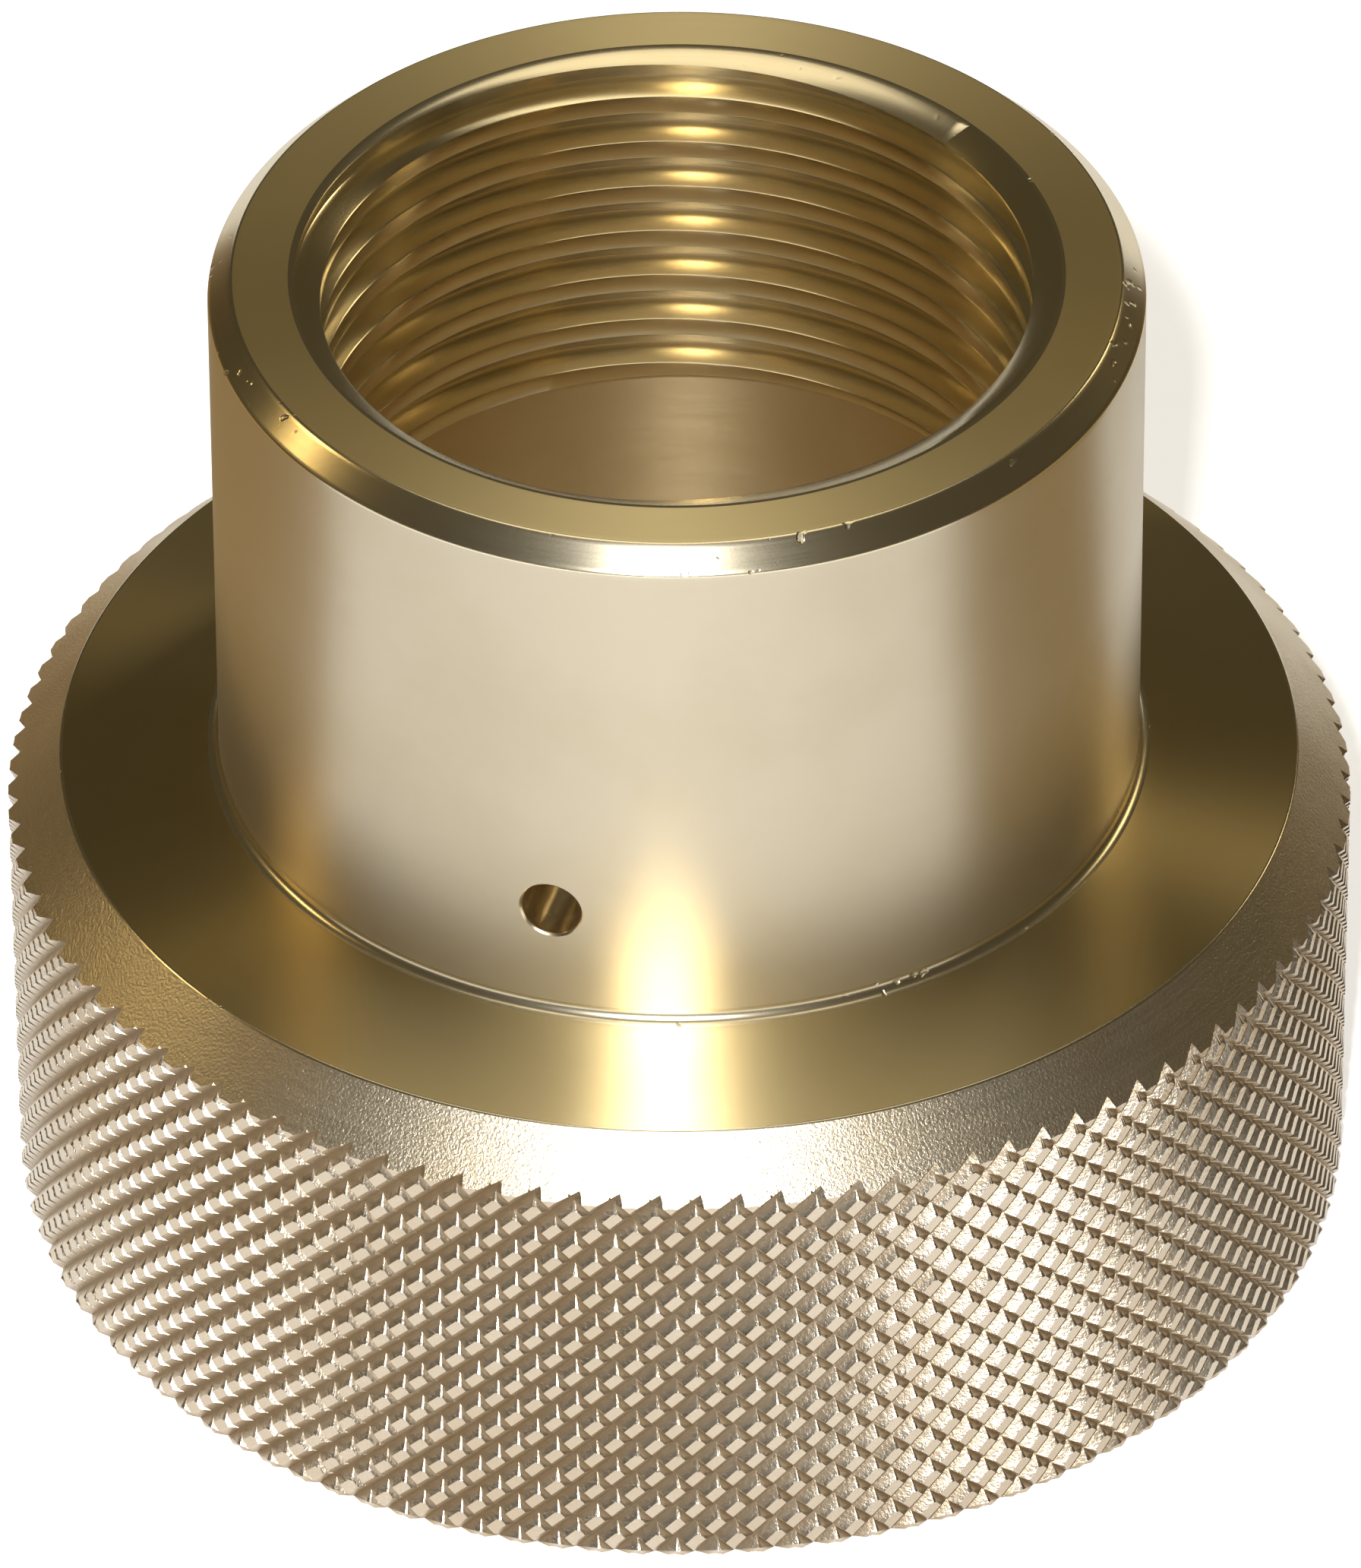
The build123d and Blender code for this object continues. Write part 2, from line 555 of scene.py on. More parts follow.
@dataclass
class ThreadedBore:
    """The trapezoidal thread, its countersunk mouth and the face under its last turn."""

    sizes: NutSizes
    crest_round: float = 0.09
    root_round: float = 0.13
    first_turn: int = -9        # turns that are laid out before the cuts, from the start of the thread
    last_turn: int = 3

    root_end: ClassVar[int] = 6     # number of the section's last point before the middle of the groove

    def turn_section(self) -> np.ndarray:
        """Half section of one turn, from the middle of a crest upwards across the groove above it.

        Returns:
            Rows of radius and height above the middle of the groove.
        """
        s = self.sizes
        slope = tan(radians(s.thread_flank_angle))
        inner, outer, c, q = s.minor_radius, s.root_radius, self.crest_round, self.root_round

        def on_flank(radius: float) -> float:
            """Height of the lower flank at a radius."""
            return -s.half_groove + (radius - inner) * slope

        lower = [
            (inner, -s.half_groove - c),
            (inner + ROUND_ALONG * c, -s.half_groove - ROUND_BACK * c),
            (inner + ROUND_END * c, on_flank(inner + ROUND_END * c)),
            (s.mouth_radius, on_flank(s.mouth_radius)),
            (outer - q, on_flank(outer - q)),
            (outer - ROUND_ALONG * q, on_flank(outer) + ROUND_BACK * q),
            (outer, on_flank(outer) + q),
        ]
        upper = [(r, -z) for r, z in reversed(lower) if abs(r - s.mouth_radius) > TINY]
        return np.array(lower + upper)

    def laid_out(self, angle: np.ndarray) -> tuple[np.ndarray, np.ndarray]:
        """Lays out the thread on a grid whose rows follow the helix, before its ends are cut.

        Each column is one half section: crest, lower flank, root, upper flank, turn after turn. It climbs with the
        angle, so the surface is (r, z0 + pitch (turn + angle / full circle) + dz).

        Args:
            angle: the columns' angles.

        Returns:
            Radii and heights as rows x columns.
        """
        s = self.sizes
        section = self.turn_section()
        turns = np.arange(self.first_turn, self.last_turn + 1)
        at_back = s.total_height - s.thread_start_depth - s.half_groove
        lag = (angle - pi / 2) / (2 * pi)
        height = at_back + s.thread_pitch * (turns[:, None, None] + lag[None, None, :]) + section[None, :, 1, None]
        radius = np.broadcast_to(section[None, :, 0, None], height.shape)
        return radius.reshape(-1, len(angle)), height.reshape(-1, len(angle))

    def cut_by_mouth(self, radius: np.ndarray, height: np.ndarray) -> tuple[np.ndarray, np.ndarray]:
        """Ends the thread at the mouth's cone and the top face.

        Points above the cone and the face drop straight down on to them. Past the last groove's upper flank they
        gather in the point where that flank meets them, or, where the crest above that groove is still free, past
        the next groove's root they gather in the outer corner.

        Args:
            radius: the grid's radii.
            height: its heights.

        Returns:
            The new radii and heights.
        """
        s = self.sizes
        top, slope = s.total_height, tan(radians(s.mouth_slope))
        rows = len(self.turn_section())
        count, columns = height.shape
        turns = count // rows
        number, column = np.arange(count)[:, None], np.arange(columns)
        cap = np.minimum(top, top - (s.mouth_radius - radius) * slope)

        root_end = np.arange(turns) * rows + self.root_end
        below_top = height[root_end + 1] < top
        last = turns - 1 - np.argmax(below_top[::-1], axis=0)
        crest = last * rows + rows - 1
        crest_free = height[crest, column] < cap[crest, column]

        over = height - cap
        crossing = np.argmax((number > root_end[last][None, :]) & (over > 0), axis=0)
        before, after = over[crossing - 1, column], over[crossing, column]
        share = np.clip(-before / (after - before), 0.0, 1.0)
        start = radius[crossing - 1, column]
        cross_radius = start + share * (radius[crossing, column] - start)
        cross_height = np.minimum(top, top - (s.mouth_radius - cross_radius) * slope)

        gathered = (~crest_free)[None, :] & (number >= crossing[None, :])
        open_end = root_end[np.minimum(last + 1, turns - 1)]
        folded = crest_free[None, :] & (number > open_end[None, :])
        radius = np.where(gathered, cross_radius[None, :], radius)
        height = np.where(gathered, cross_height[None, :], np.minimum(height, cap))
        return np.where(folded, s.root_radius, radius), np.where(folded, top, height)

    def cut_by_step(self, radius: np.ndarray, height: np.ndarray) -> tuple[np.ndarray, np.ndarray]:
        """Ends the thread at the step face: the points below it gather where the section crosses it.

        Args:
            radius: the grid's radii.
            height: its heights.

        Returns:
            The new radii and heights.
        """
        floor = self.sizes.step_height
        count, columns = height.shape
        number, column = np.arange(count)[:, None], np.arange(columns)
        start = count - 1 - np.argmax((height < floor)[::-1], axis=0)
        before, after = height[start, column] - floor, height[start + 1, column] - floor
        share = -before / (after - before)
        foot_radius = radius[start, column] + share * (radius[start + 1, column] - radius[start, column])
        below = number <= start[None, :]
        return np.where(below, foot_radius[None, :], radius), np.where(below, floor, height)

    def build(self, patches: Patches, angle: np.ndarray) -> None:
        """Adds the thread, the lip round its mouth and the step face under it.

        The columns run once round from the back, and the last one lies on the first with its rows one turn further
        down.

        Args:
            patches: where the surfaces go.
            angle: the columns' angles.
        """
        s = self.sizes
        back = int(np.searchsorted(angle, pi / 2))
        angle = np.concatenate([angle[back:], angle[:back + 1] + 2 * pi])
        radius, height = self.cut_by_step(*self.cut_by_mouth(*self.laid_out(angle)))
        wall = around(radius, angle[None, :], height)[::-1]
        patches.add(wall, ring_grid(wall, closed=False), Zone.THREAD)

        level = np.ones(len(angle))
        lip_radii = np.stack([s.lip_radius * level, np.maximum(radius[-1], s.mouth_radius), radius[-1]])
        lip_heights = np.stack([s.total_height * level, s.total_height * level, height[-1]])
        lip = around(lip_radii, angle[None, :], lip_heights)
        patches.add(lip, ring_grid(lip, closed=False), Zone.EDGE)
        step = around(np.stack([radius[0], s.plain_radius * level]), angle[None, :], np.array(s.step_height))
        patches.add(step, ring_grid(step, closed=False), Zone.BORE)


@dataclass
class CrossHole:
    """The small radial hole through the neck wall on the -Y side."""

    sizes: NutSizes
    reach: int = 5              # half width of the patch around each mouth, in half teeth
    half_height: float = 3.0
    side_steps: int = 13
    rings: int = 6
    crowding: float = 0.85      # below 1, the patch's rings crowd towards the hole
    lip: float = 0.1            # length of the short bands of the drilled wall behind each mouth
    break_width: float = 0.3    # middle ring of the edge break, as shares of the break
    break_depth: float = 0.5

    def window(self, angle: np.ndarray) -> tuple[int, int, float, float]:
        """Finds the bounds of the patch around the hole.

        Args:
            angle: the columns' angles.

        Returns:
            First and last column, lowest and highest height.
        """
        s = self.sizes
        half = self.reach * s.half_tooth
        first = int(np.argmin(np.abs(angle - (s.hole_angle - half))))
        last = int(np.argmin(np.abs(angle - (s.hole_angle + half))))
        return first, last, s.hole_height - self.half_height, s.hole_height + self.half_height

    def border(self, angle: np.ndarray) -> tuple[np.ndarray, np.ndarray]:
        """Runs round the patch's border, anticlockwise from outside, from its lower left corner.

        Args:
            angle: the columns' angles.

        Returns:
            Angles and heights of the border's points.
        """
        first, last, low, high = self.window(angle)
        along, rise = angle[first:last + 1], np.linspace(low, high, self.side_steps + 1)
        level, side = np.ones(len(along) - 1), np.ones(self.side_steps)
        turn = np.concatenate([along[:-1], side * along[-1], along[:0:-1], side * along[0]])
        height = np.concatenate([level * low, rise[:-1], level * high, rise[:0:-1]])
        return turn, height

    def mouth(self, radius: float, edge: float, angle: np.ndarray, outward: bool, patches: Patches,
              zone: Zone) -> np.ndarray:
        """Adds the patch of a cylinder between its square border and the hole's edge.

        Points go from the border to the edge in the cylinder's unrolled plane, each towards the edge point in its
        own direction from the hole's centre.

        Args:
            radius: of the cylinder.
            edge: radius of the hole where it meets the cylinder.
            angle: the columns' angles.
            outward: true on the neck, false in the bore.
            patches: where the patch goes.
            zone: its finish.

        Returns:
            The hole's directions, as angles in the unrolled plane.
        """
        s = self.sizes
        turn, height = self.border(angle)
        across, up = (turn - s.hole_angle) * radius, height - s.hole_height
        way = np.arctan2(up, across)
        edge_across = radius * np.arcsin(edge * np.cos(way) / radius)
        edge_up = edge * np.sin(way)
        share = (np.linspace(0.0, 1.0, self.rings + 1)[:, None]) ** self.crowding
        a = across + (edge_across - across) * share
        z = up + (edge_up - up) * share
        points = around(np.full_like(a, radius), s.hole_angle + a / radius, s.hole_height + z)
        faces = ring_grid(points)
        patches.add(points, faces if outward else faces[:, ::-1], zone)
        return way

    def side_fans(self, radius: float, angle: np.ndarray, outward: bool, patches: Patches, zone: Zone) -> None:
        """Adds the two tall cells beside the patch, fanned out to its side points.

        Args:
            radius: of the cylinder.
            angle: the columns' angles.
            outward: true on the neck, false in the bore.
            patches: where the cells go.
            zone: their finish.
        """
        first, last, low, high = self.window(angle)
        rise = np.linspace(low, high, self.side_steps + 1)
        for far, near, right in ((first - 1, first, False), (last + 1, last, True)):
            corners = around(np.full(2, radius), np.full(2, angle[far]), np.array([low, high]))
            edge = around(np.full(len(rise), radius), np.full(len(rise), angle[near]), rise)
            points = np.concatenate([corners, edge])
            step = np.arange(2, 1 + len(rise))
            fan = np.stack([np.zeros_like(step), step, step + 1], axis=-1)
            fan = np.concatenate([fan, [[0, 1 + len(rise), 1]]])
            patches.add(points, fan if right != outward else fan[:, ::-1], zone)

    def wall(self, angle: np.ndarray, patches: Patches) -> None:
        """Adds both mouths, the edge break and the drilled wall between them.

        Args:
            angle: the columns' angles.
            patches: where the surfaces go.
        """
        s = self.sizes
        drill, broken = s.cross_hole_diameter / 2, s.cross_hole_break
        wide = drill + broken
        way = self.mouth(s.neck_radius, wide, angle, True, patches, Zone.NECK)
        inner_way = self.mouth(s.plain_radius, drill, angle, False, patches, Zone.BORE)
        rows = []
        for radius, edge, way_round, inset in (
            (s.neck_radius, wide, way, 0.0),
            (s.neck_radius, drill + self.break_width * broken, way, self.break_depth * broken),
            (s.neck_radius, drill, way, broken),
            (s.neck_radius, drill, way, broken + self.lip),
            (s.plain_radius, drill, inner_way, -self.lip),
            (s.plain_radius, drill, inner_way, 0.0),
        ):
            x = edge * np.cos(way_round)
            y = -(np.sqrt(radius ** 2 - x ** 2) - inset)
            rows.append(np.stack([x, y, s.hole_height + edge * np.sin(way_round)], axis=-1))
        points = np.stack(rows)
        patches.add(points, ring_grid(points), Zone.HOLE)


@dataclass(frozen=True)
class BevelRound:
    """Offsets in millimetres that soften a 45 degree corner between a straight side and a slope."""

    end: float = 0.09           # from the corner to the round's end on the straight side
    back: float = 0.02          # to its point just before the corner, which is
    sag: float = 0.012          # this far off the straight side
    slope: float = 0.06         # to its end on the slope
    support: float = 0.2        # to the ring that keeps the slope flat


@dataclass
class ThumbNut:
    """The whole nut: knurled ring, neck, threaded bore and cross hole, as one closed mesh.

    Rings near an edge keep its shading from spreading; how far off they lie is given in millimetres.
    """

    sizes: NutSizes = field(default_factory=NutSizes)
    columns: int = 318          # of the turned surfaces
    edge_round: float = 0.08
    bevel_round: BevelRound = field(default_factory=BevelRound)
    fillet_steps: int = 7
    fillet_margin: float = 0.12     # on the neck above the fillet
    face_margins: tuple[float, float] = (0.4, 0.25)     # on the ring's upper face, at the rim and at the fillet
    neck_margin: float = 0.5        # on the neck below its chamfer
    crown_margin: float = 0.4       # on the top face inside its chamfer
    rim_margin: float = 0.15        # on the rim chamfer below its edge
    even_rim: float = 1.75          # width of the rim chamfer's turned part, above the part that meets the knurl
    even_foot: float = 0.4          # how far inside the knurl's grooves the underside's turned part starts
    bore_margin: float = 2.0        # height of the ring above the chamfer of the plain bore

    def revolved(self, section: Sequence[tuple[float, float]], angle: np.ndarray, zone: Zone,
                 patches: Patches) -> None:
        """Adds a surface of revolution whose section runs with the metal on its left when seen with +Z up.

        Args:
            section: radius and height of each ring.
            angle: the columns' angles.
            zone: its finish.
            patches: where it goes.
        """
        points = lathed(section, angle)
        patches.add(points, ring_grid(points), zone)

    def neck_section(self) -> list[tuple[Zone, list[tuple[float, float]]]]:
        """Sections of the outside above the rim chamfer, from the rim to the lip of the mouth.

        Returns:
            Each section's finish, and the radius and height of its rings.
        """
        s, e, f, r = self.sizes, self.edge_round, self.sizes.root_fillet, self.bevel_round
        rim, neck, top, base = s.knurl_radius - s.rim_chamfer, s.neck_radius, s.total_height, s.ring_height
        fall = atan2(s.face_fall, rim - neck)
        end = ROUND_END * e
        rim_edge = [(rim + e, base - e), (rim + ROUND_ALONG * e, base - ROUND_BACK * e), (rim - 0.3 * e, base),
                    (rim - end, base + end * tan(fall))]

        # the fillet ends square to the face, so its centre is shifted until its lower end lies on the face
        centre = (neck + f, s.face_height + f)
        low = 270 - np.degrees(fall)
        bottom = (centre[0] + f * cos(radians(low)), centre[1] + f * sin(radians(low)))
        lift = bottom[1] - (base + (rim - bottom[0]) * tan(fall))
        fillet = arc((centre[0], centre[1] - lift), f, low, 180, self.fillet_steps)
        outer, inner = self.face_margins
        face = [rim_edge[-1], (rim - outer, base + outer * tan(fall)),
                (fillet[0][0] + inner, fillet[0][1] - inner * tan(fall)), fillet[0]]

        hole = CrossHole(s)
        foot = [fillet[-1], (neck, fillet[-1][1] + self.fillet_margin), (neck, s.hole_height - hole.half_height)]
        shoulder, brow = top - s.neck_chamfer, neck - s.neck_chamfer
        upper = [(neck, s.hole_height + hole.half_height), (neck, shoulder - self.neck_margin),
                 (neck, shoulder - r.end)]
        bevel = [(neck, shoulder - r.end), (neck - r.sag, shoulder - r.back), (neck - r.slope, shoulder + r.slope),
                 (neck - r.support, shoulder + r.support), (brow + r.support, top - r.support),
                 (brow + r.slope, top - r.slope), (brow - r.back, top - r.sag), (brow - r.end, top)]
        crown = [(brow - r.end, top), (brow - self.crown_margin, top), (s.lip_radius, top)]
        return [(Zone.EDGE, rim_edge), (Zone.FACE, face), (Zone.EDGE, fillet), (Zone.NECK, foot),
                (Zone.NECK, upper), (Zone.EDGE, bevel), (Zone.CROWN, crown)]

    def drilled_band(self, radius: float, angle: np.ndarray, outward: bool, zone: Zone, patches: Patches) -> None:
        """Adds the cylinder band that holds one mouth of the cross hole, without the cells that the patch fills.

        Args:
            radius: of the cylinder.
            angle: the columns' angles.
            outward: true on the neck, false in the bore.
            zone: its finish.
            patches: where it goes.
        """
        hole = CrossHole(self.sizes)
        first, last, low, high = hole.window(angle)
        points = lathed([(radius, low), (radius, high)], angle)
        columns = len(angle)
        cell = np.arange(columns)
        keep = (cell < first - 1) | (cell > last)
        left, right = cell[keep], (cell[keep] + 1) % columns
        faces = np.concatenate([np.stack([left, right, right + columns], -1),
                                np.stack([left, right + columns, left + columns], -1)])
        patches.add(points, faces if outward else faces[:, ::-1], zone)
        hole.side_fans(radius, angle, outward, patches, zone)

    def add_outside(self, patches: Patches, angle: np.ndarray) -> None:
        """Adds the knurl, the underside, the rim chamfer and everything above it on the outside.

        Args:
            patches: where the surfaces go.
            angle: the columns' angles.
        """
        s = self.sizes
        ragged_top, ragged_foot = KnurledBand(s).build(patches)
        neck = self.neck_section()
        edge = neck[0][1][0]
        below_edge = (edge[0] + self.rim_margin, edge[1] - self.rim_margin)
        meeting = (s.knurl_radius - s.rim_chamfer + self.even_rim, s.ring_height - self.even_rim)
        patches.add(*zipped(ragged_top, lathed([meeting], angle)[0]), Zone.RIM)
        self.revolved([meeting, below_edge, edge], angle, Zone.RIM, patches)
        for zone, section in neck:
            self.revolved(section, angle, zone, patches)
        self.drilled_band(s.neck_radius, angle, True, Zone.NECK, patches)

        meeting = (s.knurl_radius - s.knurl_depth - self.even_foot, 0.0)
        points, strip = zipped(ragged_foot, lathed([meeting], angle)[0])
        patches.add(points, strip[:, ::-1], Zone.FACE)
        self.revolved([self.bore_foot()[-1], meeting], angle, Zone.FACE, patches)

    def bore_foot(self) -> list[tuple[float, float]]:
        """Section of the plain bore below the cross hole, with the small rounds of its chamfer.

        Returns:
            Radius and height of each ring.
        """
        s, c = self.sizes, self.sizes.bore_chamfer
        plain = s.plain_radius
        above, slope, low = 0.05, 0.03, 0.04
        return [(plain, s.hole_height - CrossHole(s).half_height), (plain, self.bore_margin), (plain, c + above),
                (plain + slope, c - slope), (plain + c - low, low), (plain + c + low, 0.0)]

    def add_inside(self, patches: Patches, angle: np.ndarray) -> None:
        """Adds the threaded and the plain bore and the cross hole.

        Args:
            patches: where the surfaces go.
            angle: the columns' angles.
        """
        s = self.sizes
        ThreadedBore(s).build(patches, angle)
        hole = CrossHole(s)
        hole.wall(angle, patches)
        _, _, _, window_high = hole.window(angle)
        self.revolved([(s.plain_radius, s.step_height), (s.plain_radius, window_high)], angle, Zone.BORE, patches)
        self.drilled_band(s.plain_radius, angle, False, Zone.BORE, patches)
        self.revolved(self.bore_foot(), angle, Zone.BORE, patches)

    def arrays(self) -> tuple[np.ndarray, np.ndarray, np.ndarray]:
        """Works out every surface of the nut.

        Returns:
            Positions in millimetres, triangles and zone numbers.
        """
        patches = Patches()
        angle = np.linspace(0.0, 2 * pi, self.columns, endpoint=False)
        self.add_outside(patches, angle)
        self.add_inside(patches, angle)
        return patches.welded()

    def build(self) -> bpy.types.Object:
        """Makes the nut's object from its arrays.

        Returns:
            The object, at the origin.
        """
        points, triangles, zones = self.arrays()
        mesh = bpy.data.meshes.new("thumb_nut")
        mesh.vertices.add(len(points))
        mesh.vertices.foreach_set("co", (points * MM).astype(np.float32).ravel())
        mesh.loops.add(3 * len(triangles))
        mesh.loops.foreach_set("vertex_index", triangles.astype(np.int32).ravel())
        mesh.polygons.add(len(triangles))
        mesh.polygons.foreach_set("loop_start", np.arange(0, 3 * len(triangles), 3, dtype=np.int32))
        mesh.polygons.foreach_set("material_index", zones.astype(np.int32))
        mesh.update(calc_edges=True)
        mesh.validate()
        mesh.shade_smooth()
        mark_creases(mesh, points, triangles, zones)
        nut = bpy.data.objects.new("thumb_nut", mesh)
        bpy.context.scene.collection.objects.link(nut)
        LOG.info("thumb nut: %d points, %d triangles", len(points), len(triangles))
        return nut


def mark_creases(mesh: bpy.types.Mesh, points: np.ndarray, triangles: np.ndarray, zones: np.ndarray) -> None:
    """Marks the edges at which the shading breaks.

    They are the edges whose two normals differ by more than the crease angle, those between two triangles of the
    knurl that differ by more than its own crease angle, and all edges round the knurl.

    Args:
        mesh: of the nut, with its edges.
        points: its positions in millimetres.
        triangles: its triangles.
        zones: the zone number of each triangle.
    """
    corners = points[triangles]
    normals = np.cross(corners[:, 1] - corners[:, 0], corners[:, 2] - corners[:, 0])
    normals /= np.maximum(np.linalg.norm(normals, axis=1, keepdims=True), 1e-12)
    edges = np.empty(3 * len(triangles), dtype=np.int32)
    mesh.loops.foreach_get("edge_index", edges)
    order = np.argsort(edges, kind="stable")
    first, second = order[0::2] // 3, order[1::2] // 3
    likeness = (normals[first] * normals[second]).sum(axis=1)
    knurled = zones == Zone.KNURL.value
    both, border = knurled[first] & knurled[second], knurled[first] ^ knurled[second]
    least = np.where(both, cos(radians(KNURL_CREASE_ANGLE)), cos(radians(CREASE_ANGLE)))
    sharp = mesh.attributes.new("sharp_edge", "BOOLEAN", "EDGE")
    sharp.data.foreach_set("value", (likeness < least) | border)


# --------------------------------------------------------------------------------------------------
# finishes


class Value:
    """A socket of a material that becomes Math nodes when it is used in an expression."""

    def __init__(self, sheet: "MaterialSheet", socket: bpy.types.NodeSocket) -> None:
        """Wraps one output socket."""
        self.sheet = sheet
        self.socket = socket

    def math(self, operation: str, *others: Any) -> "Value":
        """Result of one Math node on this value and the others."""
        return self.sheet.node("ShaderNodeMath", {"operation": operation}, {0: self, **dict(enumerate(others, 1))})

    def __add__(self, other: Any) -> "Value":
        """Sum."""
        return self.math("ADD", other)

    __radd__ = __add__

    def __sub__(self, other: Any) -> "Value":
        """Difference."""
        return self.math("SUBTRACT", other)

    def __rsub__(self, other: Any) -> "Value":
        """Difference from a plain number."""
        return (self * -1.0) + other

    def __mul__(self, other: Any) -> "Value":
        """Product."""
        return self.math("MULTIPLY", other)

    __rmul__ = __mul__

    def __pow__(self, other: Any) -> "Value":
        """Power."""
        return self.math("POWER", other)

    def step(self, low: float, high: float, start: float = 0.0, end: float = 1.0) -> "Value":
        """Smooth rise from start to end while this value goes from low to high.

        Args:
            low: this value where the rise starts.
            high: this value where it ends.
            start: result up to there.
            end: result from there on.

        Returns:
            The result.
        """
        return self.sheet.node(
            "ShaderNodeMapRange",
            {"interpolation_type": "SMOOTHSTEP"},
            {"Value": self, "From Min": low, "From Max": high, "To Min": start, "To Max": end},
        )


class MaterialSheet:
    """The node tree of one material, with the coordinates that its patterns share."""

    def __init__(self, name: str) -> None:
        """Makes an empty material.

        Args:
            name: of the material.
        """
        self.material = bpy.data.materials.new(name)
        self.material.use_nodes = True
        self.tree = self.material.node_tree
        self.tree.nodes.clear()
        self.place = self.node("ShaderNodeTexCoord", {}, {}, "Object")
        parts = self.node("ShaderNodeSeparateXYZ", {}, {0: self.place}, None)
        self.x, self.y, self.z = (Value(self, parts.outputs[k]) for k in "XYZ")
        self.radius = (self.x * self.x + self.y * self.y) ** 0.5
        self.turn = self.y.math("ARCTAN2", self.x)

    def node(self, kind: str, settings: dict[str, Any], inputs: dict[Any, Any], output: Any = 0) -> Any:
        """Adds one node.

        Args:
            kind: node type.
            settings: properties, set before the sockets.
            inputs: values or links by socket name or number.
            output: which output to wrap, or None for the node itself.

        Returns:
            The wrapped output, or the node.
        """
        made = self.tree.nodes.new(kind)
        for key, value in settings.items():
            setattr(made, key, value)
        for key, value in inputs.items():
            socket = made.inputs[key]
            if isinstance(value, Value):
                self.tree.links.new(value.socket, socket)
            elif socket.type == "RGBA" and len(value) == 3:
                socket.default_value = (*value, 1.0)
            else:
                socket.default_value = value
        return made if output is None else Value(self, made.outputs[output])

    def vector(self, x: Any, y: Any, z: Any) -> Value:
        """A vector of three values."""
        return self.node("ShaderNodeCombineXYZ", {}, {0: x, 1: y, 2: z})

    def noise(self, vector: Value, scale: float, detail: float = 2.0, rough: float = 0.5) -> Value:
        """Noise between 0 and 1 at the given points."""
        return self.node("ShaderNodeTexNoise", {"noise_dimensions": "3D"},
                         {"Vector": vector, "Scale": scale, "Detail": detail, "Roughness": rough})

    def mixed(self, share: Any, first: Any, second: Any) -> Value:
        """Colour between two, by share."""
        return self.node("ShaderNodeMix", {"data_type": "RGBA"}, {0: share, 6: first, 7: second}, 2)

    def bump(self, height: Value, distance: float) -> Value:
        """Normal bent by a height field whose unit is the distance in metres."""
        return self.node("ShaderNodeBump", {}, {"Strength": 1.0, "Distance": distance, "Height": height})

    def finish(self, fixed: dict[str, Any], varying: dict[str, Any]) -> bpy.types.Material:
        """Closes the material with its shader.

        Args:
            fixed: constant socket values.
            varying: linked socket values.

        Returns:
            The material.
        """
        shader = self.node("ShaderNodeBsdfPrincipled", {}, {**fixed, **varying}, None)
        self.node("ShaderNodeOutputMaterial", {}, {"Surface": Value(self, shader.outputs[0])}, None)
        return self.material


class Marks(Enum):
    """Which way the cutting marks of a finish run."""

    RINGS = "rings on a flat face"
    TURNS = "turns on a cylinder"
    NONE = "no clear direction"


# Patterns that the finishes share. Scales are noise cells per metre.
CLOUD_SCALE = 90.0
CLOUD_START, CLOUD_END = 0.38, 0.68         # the cloud noise at which the deeper colour starts and is full
DENT_SCALE = 1400.0
DENT_START, DENT_END = 0.74, 0.86           # the same for dents, where there are hardly any
DENT_SHIFT = 0.12                           # how much lower both lie where there are many
DENT_DEPTH = 0.06                           # millimetres
DENT_ROUGHNESS = 0.12
DENTED_AREA_SCALE = 160.0
DENTED_AREA_START, DENTED_AREA_END = 0.5, 0.72
MARKS_ALONG, MARKS_ACROSS = 3.0, 60.0       # noise cells of the cutting marks per radian and per metre of radius
GRAIN_SHARE, MARK_SHARE = 0.6, 0.8          # how much of the roughness's spread the grain and the marks bring
MARK_TONE = 0.25                            # how much of the mottle follows the marks
MIDDLE = 0.5                                # of a noise, which swings by as much to each side
# Painted shade in the knurl's grooves: the dark brown that its colour takes on towards the groove bottoms, and the
# roughness added there
GROOVE_SHADE_COLOUR = (0.26, 0.175, 0.08)
GROOVE_ROUGHNESS = 0.1
GRAIN_TURN = 0.25                           # turns the anisotropy to run round the axis


